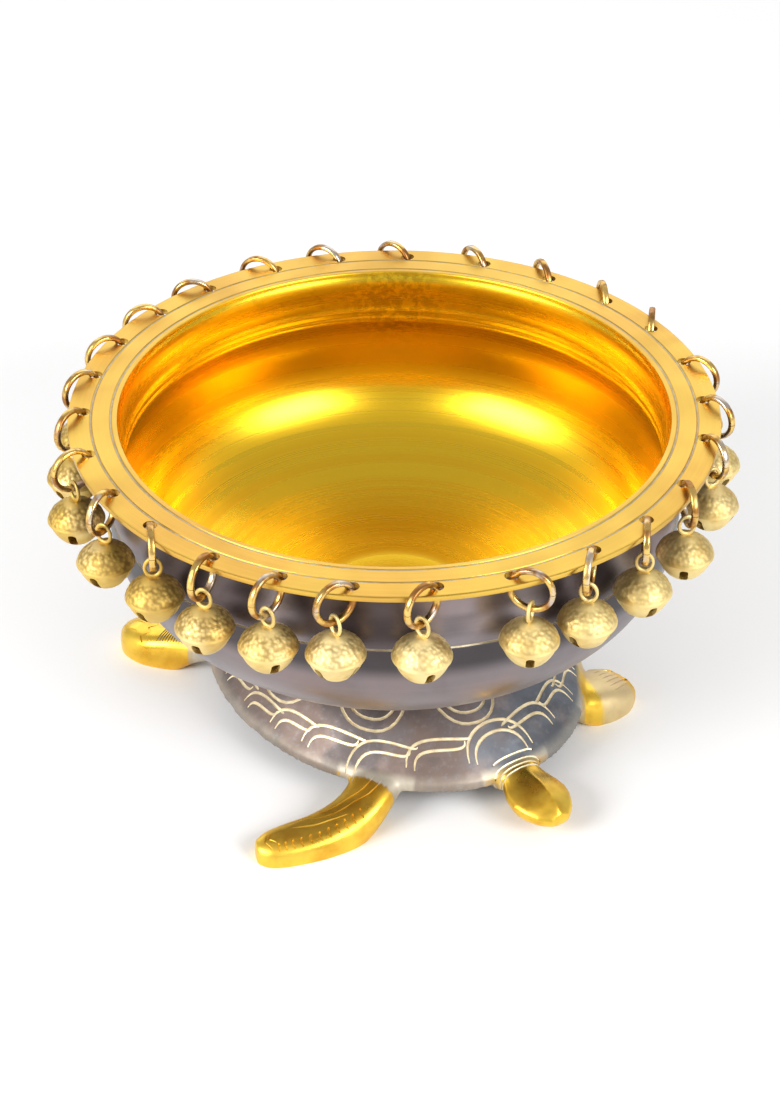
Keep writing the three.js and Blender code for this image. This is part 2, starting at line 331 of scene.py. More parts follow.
class Finish:
    """A procedural metal: a Principled shader, its base colour and its tone so far, and ways to add nodes to it."""

    def __init__(self, name, base, metallic=1.0, roughness=0.3):
        self.base = self.tone = tuple(base)
        self.material = bpy.data.materials.new(name)
        self.material.use_nodes = True
        self.tree = self.material.node_tree
        self.shader = self.tree.nodes["Principled BSDF"]
        self.set({"Metallic": metallic, "Roughness": roughness})
        self.place = self.tree.nodes.new("ShaderNodeTexCoord").outputs["Object"]

    def node(self, kind, inputs=(), **settings):
        made = self.tree.nodes.new(kind)
        for key, value in settings.items():
            setattr(made, key, value)
        for key, value in dict(inputs).items():
            self.feed(made.inputs[key], value)
        return made

    def feed(self, socket, value):
        if isinstance(value, bpy.types.NodeSocket):
            self.tree.links.new(value, socket)
        else:
            socket.default_value = value

    def math(self, operation, first, second):
        return self.node("ShaderNodeMath", {0: first, 1: second}, operation=operation).outputs[0]

    def times(self, first, second):
        return self.math("MULTIPLY", first, second)

    def noise(self, scale, detail=2.0, rough=0.5, vector=None, distortion=0.0):
        inputs = {
            "Vector": vector or self.place,
            "Scale": scale,
            "Detail": detail,
            "Roughness": rough,
            "Distortion": distortion,
        }
        return self.node("ShaderNodeTexNoise", inputs).outputs["Fac"]

    def between(self, value, low, high, to_low=0.0, to_high=1.0):
        inputs = {"Value": value, "From Min": low, "From Max": high, "To Min": to_low, "To Max": to_high}
        return self.node("ShaderNodeMapRange", inputs, interpolation_type="SMOOTHSTEP").outputs["Result"]

    def mix(self, share, first, second):
        made = self.node("ShaderNodeMix", data_type="RGBA")
        for socket, value in zip((made.inputs[0], made.inputs[6], made.inputs[7]), (share, first, second)):
            if isinstance(value, tuple) and len(value) == 3:
                value = (*value, 1.0)
            self.feed(socket, value)
        return made.outputs[2]

    def cover(self, mask, factor, tint=(1.0, 1.0, 1.0)):
        """Lay a shade of the base colour over the tone where the mask is."""
        self.tone = self.mix(mask, self.tone, shade(self.base, factor, tint))

    def layer(self, value, low, high, most, factor, tint=(1.0, 1.0, 1.0)):
        """Lay a shade over the tone, from none of it where the value is low up to most of it where it is high."""
        self.cover(self.between(value, low, high, 0.0, most), factor, tint)

    def patchy(self, scale, low, high):
        """A value that wanders between low and high."""
        return self.between(self.noise(scale, 3.0), 0.3, 0.7, low, high)

    def stretched(self, scale):
        return self.node("ShaderNodeMapping", {"Vector": self.place, "Scale": scale}).outputs["Vector"]

    def turned_place(self, across, along):
        """Coordinates on a turned surface, of its radius and height, each at its own scale. Also the height."""
        parts = self.node("ShaderNodeSeparateXYZ", {0: self.place})
        flat = self.node("ShaderNodeCombineXYZ", {0: parts.outputs[0], 1: parts.outputs[1]})
        radius = self.node("ShaderNodeVectorMath", {0: flat.outputs[0]}, operation="LENGTH").outputs["Value"]
        inputs = {0: self.times(radius, across), 1: self.times(parts.outputs[2], along)}
        return self.node("ShaderNodeCombineXYZ", inputs).outputs[0], parts.outputs[2]

    def sideways(self):
        """How far a place lies to the bowl's right, as seen from the left of its front."""
        parts = self.node("ShaderNodeSeparateXYZ", {0: self.place})
        return self.math("SUBTRACT", self.times(parts.outputs[0], 0.84), self.times(parts.outputs[1], 0.54))

    def attribute(self, name):
        return self.node("ShaderNodeAttribute", attribute_name=name).outputs["Fac"]

    def bump(self, height, distance, strength=1.0, normal=None):
        inputs = {"Height": height, "Distance": distance, "Strength": strength}
        if normal is not None:
            inputs["Normal"] = normal
        return self.node("ShaderNodeBump", inputs).outputs["Normal"]

    def set(self, inputs):
        for key, value in inputs.items():
            self.feed(self.shader.inputs[key], value)

    def done(self, roughness=None, normal=None, metallic=None):
        inputs = {"Base Color": self.tone, "Roughness": roughness, "Normal": normal, "Metallic": metallic}
        self.set({key: value for key, value in inputs.items() if value is not None})
        return self.material


def rim_brass(colours):
    """Satin brass with faint turning marks and uneven tarnish."""
    made = Finish("rim_brass", colours.rim)
    marks, _ = made.turned_place(2600.0, 400.0)
    rings = made.noise(1.0, 3.0, 0.6, marks)
    made.layer(made.noise(26.0, 3.0, 0.55), 0.45, 0.72, 1.0, 0.93, (1.0, 0.88, 0.95))
    made.layer(rings, 0.35, 0.7, 0.35, 1.08, (1.0, 1.04, 1.2))
    made.layer(made.noise(14.0, 3.0, 0.6, distortion=0.5), 0.5, 0.68, 0.6, 0.8, (1.0, 0.84, 0.9))
    return made.done(made.patchy(60.0, 0.26, 0.42), made.bump(rings, 0.02 * MM, 0.5))


# Where the neck's inside is tarnished
TARNISHED_PLACE = (0.041, 0.063, 0.0885)


def inside_brass(colours):
    """Polished brass, spun in fine rings, with a few stains and scratches."""
    made = Finish("inside_brass", colours.inside)
    tangent = made.node("ShaderNodeTangent", direction_type="RADIAL", axis="Z").outputs[0]
    made.set({"Anisotropic": 0.25, "Coat Weight": 0.25, "Coat Roughness": 0.22, "Tangent": tangent})
    marks, height = made.turned_place(2400.0, 2400.0)
    rings = made.noise(1.0, 4.0, 0.65, marks)
    broad, _ = made.turned_place(260.0, 260.0)
    made.layer(made.noise(1.0, 2.0, 0.5, broad), 0.35, 0.7, 0.6, 0.88, (1.0, 0.86, 0.6))
    made.layer(rings, 0.45, 0.8, 0.25, 1.05, (1.0, 1.04, 1.1))
    stain = made.between(made.noise(190.0, 5.0, 0.7, distortion=0.6), 0.54, 0.66)
    made.cover(made.times(stain, made.between(height, 0.078, 0.09, 0.0, 0.5)), 0.72, (1.0, 0.92, 0.9))
    away = made.node("ShaderNodeVectorMath", {0: made.place, 1: TARNISHED_PLACE}, operation="DISTANCE").outputs["Value"]
    mottled = made.between(made.noise(420.0, 4.0, 0.7), 0.42, 0.56)
    made.cover(made.times(made.between(away, 0.022, 0.006, 0.0, 0.6), mottled), 0.5, (1.0, 0.86, 0.7))
    rough = made.between(made.noise(1.0, 3.0, 0.6, broad), 0.3, 0.7, 0.21, 0.33)
    scratches = made.between(made.noise(1.0, 2.0, 0.4, made.stretched((30.0, 900.0, 30.0))), 0.72, 0.76)
    return made.done(rough, made.bump(scratches, 0.02 * MM, 0.25, made.bump(rings, 0.02 * MM, 0.4)))


def bowl_patina(colours):
    """Grey satin patina with mauve and blue clouds, on turned metal, with painted shade and painted reflections in
    bands by height.
    """
    made = Finish("bowl_patina", colours.patina, metallic=0.85)
    marks, height = made.turned_place(1500.0, 1500.0)
    rings = made.noise(1.0, 3.0, 0.6, marks)
    made.tone = shade(made.base, 1.06, (1.06, 0.97, 0.98))
    made.layer(made.noise(22.0, 4.0, 0.6), 0.36, 0.66, 1.0, 0.94, (0.92, 1.0, 1.1))
    streak = made.noise(1.0, 3.0, 0.6, made.stretched((60.0, 60.0, 14.0)))
    made.layer(streak, 0.5, 0.75, 0.45, 0.66, (1.04, 0.98, 1.02))
    made.layer(rings, 0.5, 0.8, 0.25, 1.35)
    # Painted shade under the rim and in a band under the belly's line, patches of painted dark reflection above that
    # line, and a painted reflection of the pale floor low down
    made.layer(height, 0.084, 0.0955, 0.75, 0.4, (1.15, 0.92, 1.05))
    shade_band_below_line = made.times(made.between(height, 0.062, 0.068, 0.0, 0.85), made.between(height, 0.0735, 0.0725))
    made.cover(shade_band_below_line, 0.2, (0.95, 1.0, 1.1))
    # Patches of painted dark reflection, above the belly's line
    dark_reflection_patch = made.between(made.noise(1.0, 2.0, 0.5, made.stretched((30.0, 30.0, 16.0))), 0.5, 0.6)
    made.cover(made.times(dark_reflection_patch, made.between(height, 0.068, 0.076, 0.0, 0.85)), 0.25, (1.1, 0.95, 1.0))
    # Painted reflection of the pale floor, paler low down
    made.layer(height, 0.06, 0.05, 0.5, 1.2, (0.98, 1.0, 1.05))
    return made.done(made.patchy(48.0, 0.3, 0.46), made.bump(rings, 0.02 * MM, 0.5))


def line_brass(colours, name, factor, roughness):
    """Bare metal in the bottom of a cut line, a shade of the engraving's colour; a low factor darkens it into painted
    shadow in the line.
    """
    made = Finish(name, shade(colours.engraving, factor), 0.7, roughness)
    made.layer(made.noise(400.0, 3.0, 0.6), 0.35, 0.7, 1.0, 0.78, (1.0, 0.95, 0.85))
    return made.done()


def cast_metal(colours):
    """The cast tortoise: a clouded patina, rubbed back to bright brass on the head and flippers."""
    made = Finish("cast_metal", colours.shell_warm)
    warm, cool, gilt = made.base, tuple(colours.shell_cool), tuple(colours.gilt)
    wavy = made.math("ADD", made.sideways(), made.between(made.noise(38.0, 3.0, 0.6), 0.0, 1.0, -0.03, 0.03))
    made.tone = made.mix(made.between(wavy, 0.0, 0.035), warm, cool)
    cloud = made.noise(70.0, 4.0, 0.65)
    made.layer(cloud, 0.48, 0.7, 0.5, 1.8, (1.0, 1.05, 1.1))
    made.base = cool
    made.layer(made.noise(44.0, 4.0, 0.6, distortion=0.4), 0.5, 0.64, 0.6, 0.5, (1.1, 1.0, 0.95))
    made.layer(made.noise(520.0, 3.0, 0.7), 0.5, 0.75, 0.25, 2.0, (1.05, 1.0, 0.95))
    rubbed = made.times(made.attribute("rubbing"), made.between(cloud, 0.25, 0.6, 0.45, 1.0))
    made.tone = made.mix(rubbed, made.tone, (0.6, 0.55, 0.44))
    gold = made.attribute("gilding")
    pale, deep = shade(gilt, 1.12, (1.0, 1.06, 1.2)), shade(gilt, 0.86, (1.0, 0.86, 0.7))
    uneven = made.between(made.noise(90.0, 4.0, 0.6), 0.35, 0.7)
    made.tone = made.mix(gold, made.tone, made.mix(uneven, pale, deep))
    rough = made.math("SUBTRACT", made.patchy(120.0, 0.46, 0.62), made.times(gold, 0.2))
    shiny = made.math("ADD", made.times(gold, 0.28), 0.7)
    return made.done(rough, made.bump(made.noise(900.0, 3.0, 0.6), 0.03 * MM, 0.5), shiny)


def wire_brass(colours):
    """Flattened wire with brown and silvery tarnish."""
    made = Finish("wire_brass", colours.wire)
    made.tone = shade(made.base, 1.15, (1.0, 1.05, 1.1))
    made.layer(made.noise(150.0, 3.0, 0.6), 0.42, 0.6, 1.0, 0.55, (1.0, 0.72, 0.7))
    silver = made.between(made.noise(95.0, 3.0, 0.6, made.stretched((1.0, 1.3, 0.8))), 0.53, 0.64, 0.0, 0.85)
    made.tone = made.mix(silver, made.tone, (0.62, 0.56, 0.50))
    return made.done(made.patchy(300.0, 0.2, 0.42), made.bump(made.noise(1200.0, 3.0), 0.03 * MM, 0.6))


def bell_brass(colours):
    """Satin bell metal, browner in its hollows, and deeper on one side of the bowl than on the other."""
    made = Finish("bell_brass", colours.bell, metallic=0.9)
    side = made.sideways()
    made.tone = shade(made.base, 0.84, (1.0, 0.88, 0.5))
    made.layer(side, -0.07, -0.015, 1.0, 1.0, (1.0, 1.02, 1.1))
    made.layer(made.noise(110.0, 3.0, 0.6), 0.42, 0.7, 0.75, 0.72, (1.0, 0.84, 0.6))
    made.layer(made.noise(64.0, 2.0, 0.5), 0.5, 0.68, 0.5, 1.12, (1.0, 1.06, 1.4))
    hollows = made.times(made.attribute("hollows"), made.between(side, -0.05, 0.0, 0.85, 0.45))
    made.cover(hollows, 0.42, (1.0, 0.78, 0.5))
    return made.done(made.patchy(260.0, 0.46, 0.64), made.bump(made.noise(1500.0, 2.0), 0.04 * MM, 0.8))


def plated_steel(colours):
    made = Finish("plated_steel", colours.steel)
    made.layer(made.noise(240.0, 3.0, 0.6), 0.4, 0.7, 1.0, 0.75, (1.05, 0.97, 0.85))
    return made.done(made.patchy(500.0, 0.26, 0.46), made.bump(made.noise(1400.0, 2.0), 0.02 * MM, 0.5))


def floor_paint(colours):
    made = Finish("floor_paint", colours.floor, metallic=0.0, roughness=0.75)
    made.layer(made.noise(3.0, 2.0), 0.3, 0.7, 1.0, 0.985)
    return made.done()


# The bowl


def belly_curve(radius, drop, middle, foot, steps):
    """Quarter of a superellipse from the foot's edge out to the widest place."""
    power = 2 / 2.5
    start = math.acos((foot / radius) ** (1 / power))
    curve = []
    for i in range(steps + 1):
        angle = start * (1 - i / steps)
        curve.append((radius * math.cos(angle) ** power, middle - drop * math.sin(angle) ** power))
    return curve


def eased_run(start, end, steps):
    """Points from start to end that leave and arrive straight up."""
    run = []
    for i in range(1, steps + 1):
        t = i / steps
        s = t * t * (3 - 2 * t)
        run.append((start[0] + (end[0] - start[0]) * s, start[1] + (end[1] - start[1]) * t))
    return run


def flowing(points, pieces):
    """A smooth curve through a profile's points, with so many pieces between two points."""
    rows = np.array(points)
    curve = [tuple(rows[0])]
    for i in range(len(rows) - 1):
        before, here, there, after = rows[max(i - 1, 0)], rows[i], rows[i + 1], rows[min(i + 2, len(rows) - 1)]
        for k in range(1, pieces + 1):
            curve.append(tuple(spline(before, here, there, after, k / pieces)))
    return curve


def notch(radius, height, half, depth):
    """A rounded line cut into a flat face, met from the outside in."""
    return [
        (radius + half, height),
        (radius + 0.55 * half, height - 0.7 * depth),
        (radius, height - depth),
        (radius - 0.55 * half, height - 0.7 * depth),
        (radius - half, height),
    ]


def bowl_profile(s):
    """The bowl's outline from the middle underneath, round the rim and back to the middle inside."""
    top, wall, edge, mouth = s.rim_height, s.wall, s.rim_radius, s.mouth_radius
    bottom = bowl_low.z
    middle = top - s.belly_drop
    neck_foot = top - s.neck_height
    under_rim = top - s.rim_thickness
    outer = belly_curve(s.belly_radius, middle - bottom, middle, s.foot_radius, 44)
    outer[0] = (s.foot_radius, bottom)
    line = [(s.belly_radius - deep * MM, s.belly_line + up * MM) for deep, up in ((0.02, -0.3), (0.28, 0), (0.1, 0.3))]
    shoulder_top = (s.neck_radius + 0.6 * MM, neck_foot + 3 * MM)
    shoulder = eased_run((s.belly_radius - 0.1 * MM, s.belly_line + 0.5 * MM), shoulder_top, 10)
    neck = [(s.neck_radius + 0.2 * MM, neck_foot + 5.5 * MM), (s.neck_radius, neck_foot + 8 * MM)]
    flare = ((0.1, 2.6), (0.5, 1.1), (1.2, 0.3), (2.2, 0))
    neck += [(s.neck_radius + out * MM, under_rim - down * MM) for out, down in flare]
    soft = 0.28 * MM
    rim = [
        (edge - 0.9 * MM, under_rim),
        (edge - soft, under_rim),
        (edge - 0.3 * soft, under_rim + 0.3 * soft),
        (edge, under_rim + soft),
        (edge, top - soft),
        (edge - 0.3 * soft, top - 0.3 * soft),
        (edge - soft, top),
        (edge - 0.7 * MM, top),
    ]
    for inset in RIM_LINES:
        rim += notch(edge - inset, top, 0.42 * MM, 0.34 * MM)
    rounding = ((1.1, 0), (0.55, 0), (0.2, 0.12), (0.02, 0.42), (0, 0.9))
    lip = [(mouth + out * MM, top - down * MM) for out, down in rounding]
    # The neck's mouldings inside: how far out of its plain wall and how far under the rim's top, in millimetres
    mouldings = [
        (0.7, 1.6), (0.15, 3.2), (0.0, 5.2), (0.0, 8.0), (0.15, 10.4), (0.0, 11.9), (-0.2, 12.9), (-0.05, 13.7),
        (0.1, 14.4), (-0.1, 15.2), (0.05, 16.1), (0.5, 17.1), (1.1, 18.3), (1.8, 19.8), (2.5, 21.6), (3.05, 23.6),
    ]
    inner = flowing([(s.neck_radius - wall + out * MM, top - down * MM) for out, down in mouldings], 3)
    inside = belly_curve(s.belly_radius - wall, middle - bottom - wall, middle, s.foot_radius, 44)
    inside[0] = (s.foot_radius, bottom + wall)
    under = [(0.0, bottom), (0.5 * s.foot_radius, bottom)]
    floor = [(0.5 * s.foot_radius, bottom + wall), (0.0, bottom + wall)]
    return [*under, *outer, *line, *shoulder, *neck, *rim, *lip, *inner, *reversed(inside), *floor]


def hang_frames():
    """For each rim hole: its number, the ring's middle, the bell's hinge and the turn of the ring's plane."""
    rings = {j["child"]: j for j in frame["joints"] if j["child"].startswith("ring_")}
    bells = {j["child"]: j for j in frame["joints"] if j["child"].startswith("bell_")}
    found = []
    for name in sorted(rings):
        tag = name[-2:]
        axis = Vector(rings[name]["axis"])
        heading = Vector((0, 0, 1)).cross(axis)
        turn = math.atan2(heading.y, heading.x)
        found.append((tag, Vector(rings[name]["pos_m"]), Vector(bells[f"bell_{tag}"]["pos_m"]), turn))
    return found


class URLI_OT_bowl(bpy.types.Operator):
    """Spin the bowl, drill its rim and finish its three surfaces"""

    bl_idname = "urli.bowl"
    bl_label = "Bowl"

    def execute(self, context):
        s, colours, hangers = context.scene.urli_bowl, context.scene.urli_colours, context.scene.urli_hangers
        bowl = named(turned(bowl_profile(s), s.sides), "urli_bowl")
        drills = []
        for _, centre, _, turn in hang_frames():
            lean = centre.z + s.rim_thickness / 2 - s.rim_height
            out = math.sqrt(max(0.0, hangers.ring_mean**2 - lean**2))
            place = centre - Vector((math.cos(turn), math.sin(turn), 0)) * out
            drills.append(rod(s.hole_radius, 8 * MM, (place.x, place.y, s.rim_height), 28))
        drills.append(rod(BOLT_HOLE, 20 * MM, (0, 0, bowl_low.z)))
        cut(bowl, joined(drills))
        belly_brass = line_brass(colours, "belly_line_brass", 0.65, 0.45)
        line_shadow = line_brass(colours, "rim_line_shadow", 0.65, 0.5)
        set_materials(bowl, [rim_brass(colours), inside_brass(colours), bowl_patina(colours), belly_brass, line_shadow])
        on_rim, inside, outside, belly_line, rim_line = range(5)
        edge_band = s.rim_radius - 1.2 * MM
        under = s.rim_height - s.rim_thickness - 0.05 * MM
        lines = [s.rim_radius - inset for inset in RIM_LINES]

        def surface(middle, normal):
            radius = math.hypot(middle.x, middle.y)
            outward = normal.x * middle.x + normal.y * middle.y
            if middle.z > s.rim_height - s.rim_thickness - 0.01 * MM:
                if radius < s.mouth_radius + 0.3 * MM:
                    return inside
                if any(abs(radius - line) < 0.3 * MM for line in lines) and middle.z < s.rim_height - 0.1 * MM:
                    return rim_line
                return outside if middle.z < under + 0.1 * MM and radius < edge_band else on_rim
            if abs(middle.z - s.belly_line) < 0.29 * MM and outward > 0:
                return belly_line
            if outward > 0 or (normal.z < 0 and radius > s.neck_radius - s.wall + 0.3 * MM and middle.z > under - MM):
                return outside
            if middle.z < bowl_low.z + 0.5 * s.wall:
                return outside
            return inside if normal.z > 0 or outward < 0 else outside

        set_faces(bowl, surface)
        smooth(bowl)
        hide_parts("bowl")
        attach(bowl, "bowl_on_stand")
        return {"FINISHED"}


# The tortoise. Each limb has stations of middle, heading in plan, half width, underside and top, in millimetres
RIGHT_FRONT = [
    (-26, -38, 215, 7, 6, 14),
    (-37, -46, 203, 7.2, 3, 12.5),
    (-46, -48.8, 183, 7.4, -3, 9.5),
    (-55, -48.9, 175, 7.2, -4, 7.6),
    (-64, -47.2, 168, 6.8, -4, 6.6),
    (-70.5, -45.6, 162, 5.6, -4, 6),
    (-74, -44.6, 160, 2.8, -2, 5),
]
LEFT_FRONT = [
    (25, -36, -50, 7, 6, 14),
    (34.5, -41, -30, 8, 2, 12.5),
    (42, -42, -8, 8.6, -4, 10.4),
    (48.5, -40.8, 8, 9.2, -4, 8.6),
    (53.5, -39.8, 14, 6.6, -3, 7),
]
RIGHT_HIND = [
    (-33, 28, 145, 6.5, 6, 14),
    (-43, 37.5, 132, 5.6, 4, 12.5),
    (-48.5, 45, 120, 6, -3, 11),
    (-51.8, 52, 112, 7.8, -4, 9.6),
    (-53.8, 58.5, 106, 7.2, -4, 8.4),
    (-54.8, 63, 104, 4, -3, 6.4),
]
LEFT_HIND = [(-x, y, 180 - heading, half, low, high) for x, y, heading, half, low, high in RIGHT_HIND]
TAIL = [
    (0, 52, 90, 6, 5, 12.5),
    (0, 62, 90, 4.6, 3.5, 10.5),
    (0, 70, 90, 3, 2.5, 8),
    (0, 77, 90, 0.9, 2, 4.2),
]
HEAD = [
    (0, -50, -90, 9, 5, 14.5),
    (0, -61, -90, 7.6, 4.2, 13.4),
    (0, -64.5, -90, 6.2, 4.8, 13),
    (0, -69, -90, 8, 4, 13.6),
    (0, -75, -90, 8.6, 3.6, 13.4),
    (0, -80.5, -90, 6.4, 4.2, 11.8),
    (0, -84, -90, 3, 5.4, 9.4),
]
LIMBS = (RIGHT_FRONT, LEFT_FRONT, RIGHT_HIND, LEFT_HIND, TAIL, HEAD)
# Where along each limb, counted in stations, its bright brass begins and is full
GILT = [
    (RIGHT_FRONT, 1.0, 1.15),
    (LEFT_FRONT, 1.05, 1.25),
    (RIGHT_HIND, 1.2, 1.35),
    (LEFT_HIND, 1.2, 1.35),
    (HEAD, 1.1, 1.9),
]
# How square a limb's section is: 1 is an ellipse, less is squarer
BULGE = 0.75
# The numbers of the tortoise's materials
BODY, BRIGHT_LINE, SHADOW_LINE = range(3)


def station(limb, t):
    """The limb's section at t, counted in stations, on a smooth curve through them."""
    rows = np.array(limb, float)
    last = len(rows) - 1
    i = min(int(t), last - 1)
    return spline(rows[max(i - 1, 0)], rows[i], rows[i + 1], rows[min(i + 2, last)], t - i)


def on_section(row, angle, ridge=0.0):
    """The point of a section at an angle round it: 0 is its left edge as it looks out, a quarter turn its top."""
    x, y, heading, half, low, high = row
    c, s = math.cos(angle), math.sin(angle)
    across = math.copysign(abs(c) ** BULGE, c)
    upward = math.copysign(abs(s) ** BULGE, s)
    if s > 0:
        upward += ridge * ((1 - abs(across)) - upward)
    hx, hy = math.cos(math.radians(heading)), math.sin(math.radians(heading))
    lift = (low + high) / 2 + upward * (high - low) / 2
    return Vector((x - hy * across * half, y + hx * across * half, lift)) * MM


def cast_limb(limb, crest=0.0, sides=40, steps=5):
    """Skin a limb by extruding a ring of edges from section to section, with a crest along its outer part."""
    clear_selection()
    bpy.ops.mesh.primitive_circle_add(vertices=sides, radius=MM, fill_type="NGON", enter_editmode=True)
    for k in range((len(limb) - 1) * steps + 1):
        if k:
            bpy.ops.mesh.extrude_region_move()
        ring = [v for v in edited().data.vertices if v.select]
        if len(ring) != sides:
            raise RuntimeError("a limb's ring has lost its edges")
        t = k / steps
        for n, vertex in enumerate(ring):
            vertex.co = on_section(station(limb, t), 2 * math.pi * n / sides, crest * float(ease(t, 1.9, 3.0)))
        bpy.ops.object.mode_set(mode="EDIT")
    return close_up()


def dome_height(share, s, top):
    flat = 2 * s.seat_radius / s.shell_width
    run = np.clip((np.asarray(share, float) - flat) / (1 - flat), 0, None)
    return s.edge_height + (top - s.edge_height) * np.cos(np.pi / 2 * np.minimum(run, 1.0) ** 1.25)


def dome(s, long, wide, top, base, rows):
    """A closed dome on an oval plan."""
    shares = np.linspace(1, 2 * s.seat_radius / s.shell_width, rows + 1)
    profile = [(0.0, base), (long / 2, base)]
    profile += [(long / 2 * share, float(dome_height(share, s, top))) for share in shares]
    edit(turned([*profile, (0.0, top)], 128))
    bpy.ops.transform.resize(value=(wide / long, 1, 1), center_override=(0, 0, 0))
    return edited()


def shell_point(s, share, angle):
    """A point of the shell by its share of the way out and its angle in degrees."""
    a = math.radians(angle)
    x, y = share * s.shell_width / 2 * math.cos(a), share * s.shell_length / 2 * math.sin(a)
    return Vector((x, y, float(dome_height(share, s, s.top))))


def scale_arch(s, start, end, apex, start_share, end_share, shrink=0.0, steps=18):
    """A line round one edge scale, from its foot at the shell's edge to its foot behind the next scale."""
    narrower = shrink * 62
    middle, half = (start + end) / 2, (end - start) / 2 - math.copysign(narrower, end - start)
    line = []
    for k in range(steps + 1):
        t = k / steps
        foot = start_share + (end_share - start_share) * t
        rise = math.sin(math.pi * (0.04 + 0.92 * t)) ** 0.72
        share = foot - (foot - apex - shrink) * rise
        line.append(shell_point(s, share, middle - half * math.cos(math.pi * t)))
    return line


def scute_arch(s, middle, half, out, inner, shrink=0.0, steps=20):
    """A line round one of the large shields of the shell, open towards the bowl's seat."""
    line = []
    narrower = shrink * 70
    for k in range(steps + 1):
        u = -math.cos(math.pi * k / steps)
        share = inner + (out - shrink - inner) * (1 - abs(u) ** 2.6) ** 0.55
        line.append(shell_point(s, share, middle + u * (half - narrower)))
    return line


# Edge scales: start and end in degrees round the shell, then as shares of the way out: nearest the middle, both feet
EDGE_SCALES = [
    (-105, -81, 0.81, 0.97, 0.98), (-125, -102, 0.84, 0.97, 0.85), (-143, -121, 0.86, 1.07, 0.87),
    (-158, -138, 0.86, 0.98, 0.87), (-170, -154, 0.87, 0.98, 0.88), (-182, -167, 0.89, 0.98, 0.90),
    (-195, -180, 0.88, 0.98, 0.89), (-67, -89, 0.82, 0.96, 0.85), (-52, -71, 0.83, 0.98, 0.84),
    (-40, -58, 0.85, 0.97, 0.85), (-24, -43, 0.86, 0.98, 0.86), (-8, -27, 0.86, 0.98, 0.87),
    (8, -11, 0.87, 0.98, 0.87), (24, 5, 0.87, 0.98, 0.87), (42, 21, 0.86, 0.98, 0.87),
    (62, 38, 0.85, 0.98, 0.87), (84, 58, 0.84, 0.98, 0.86), (139, 162, 0.86, 0.98, 0.88),
    (118, 142, 0.85, 0.98, 0.87), (96, 121, 0.84, 0.98, 0.86),
]
# Shields: middle and half width in degrees, how far out they reach
SHIELDS = [
    (-98, 17.5, 0.80), (-138, 17, 0.83), (-173, 15, 0.87), (-56, 17, 0.80), (-18, 16, 0.81),
    (20, 16, 0.81), (60, 17, 0.80), (102, 18, 0.80), (146, 17, 0.81),
]


def limb_mark(limb, places):
    """A line on a limb's top through places of (station, share across it)."""
    line = []
    steps = 5
    for (t0, u0), (t1, u1) in zip(places, places[1:]):
        for k in range(steps + (places[-1] == (t1, u1))):
            t, u = t0 + (t1 - t0) * k / steps, u0 + (u1 - u0) * k / steps
            c = math.copysign(min(1.0, abs(u)) ** (1 / BULGE), u)
            line.append(on_section(station(limb, t), math.acos(c)))
    return line


def band_mark(limb, t, low=-50, high=230):
    """A line round a limb, over its top."""
    row = station(limb, t)
    return [on_section(row, math.radians(low + (high - low) * k / 22)) for k in range(23)]


def groove_tube(points, radius, target, number, taper=0.35):
    """A thin tube that lies in the target's surface along a line, thinner at its ends."""
    draw_line([tuple(p) for p in points])
    apply_modifier(edited(), "SHRINKWRAP", target=target, wrap_method="NEAREST_SURFACEPOINT")
    bpy.ops.object.convert(target="CURVE")
    curve = bpy.context.object.data
    curve.bevel_depth = radius
    curve.bevel_resolution = 1
    curve.use_fill_caps = True
    points = curve.splines[0].points
    last = len(points) - 1
    for k, point in enumerate(points):
        point.radius = taper + (1 - taper) * min(1.0, 5 * min(k, last - k) / last)
    bpy.ops.object.convert(target="MESH")
    edit(bpy.context.object)
    tube = close_up()
    set_materials(tube, target.data.materials[:])
    set_faces(tube, lambda middle, normal: number)
    return tube


def along_limb(points, limb):
    """For each point in plan: its distance from the limb's middle line, and where along the limb it is nearest."""
    last = len(limb) - 1
    samples = np.linspace(0, last, last * 8 + 1)
    line = np.array([station(limb, t)[:2] for t in samples]) * MM
    gap = np.linalg.norm(points[:, None, :2] - line[None], axis=2)
    nearest = gap.argmin(axis=1)
    return gap[np.arange(len(points)), nearest], samples[nearest]


def root_of(s, limb):
    """Where a limb's middle line leaves the shell."""
    for t in np.linspace(0, len(limb) - 1, 80):
        x, y, _, _, low, high = station(limb, t)
        if math.hypot(x * MM / (s.shell_width / 2), y * MM / (s.shell_length / 2)) >= 1:
            break
    return np.array([x, y, (low + high) / 2]) * MM


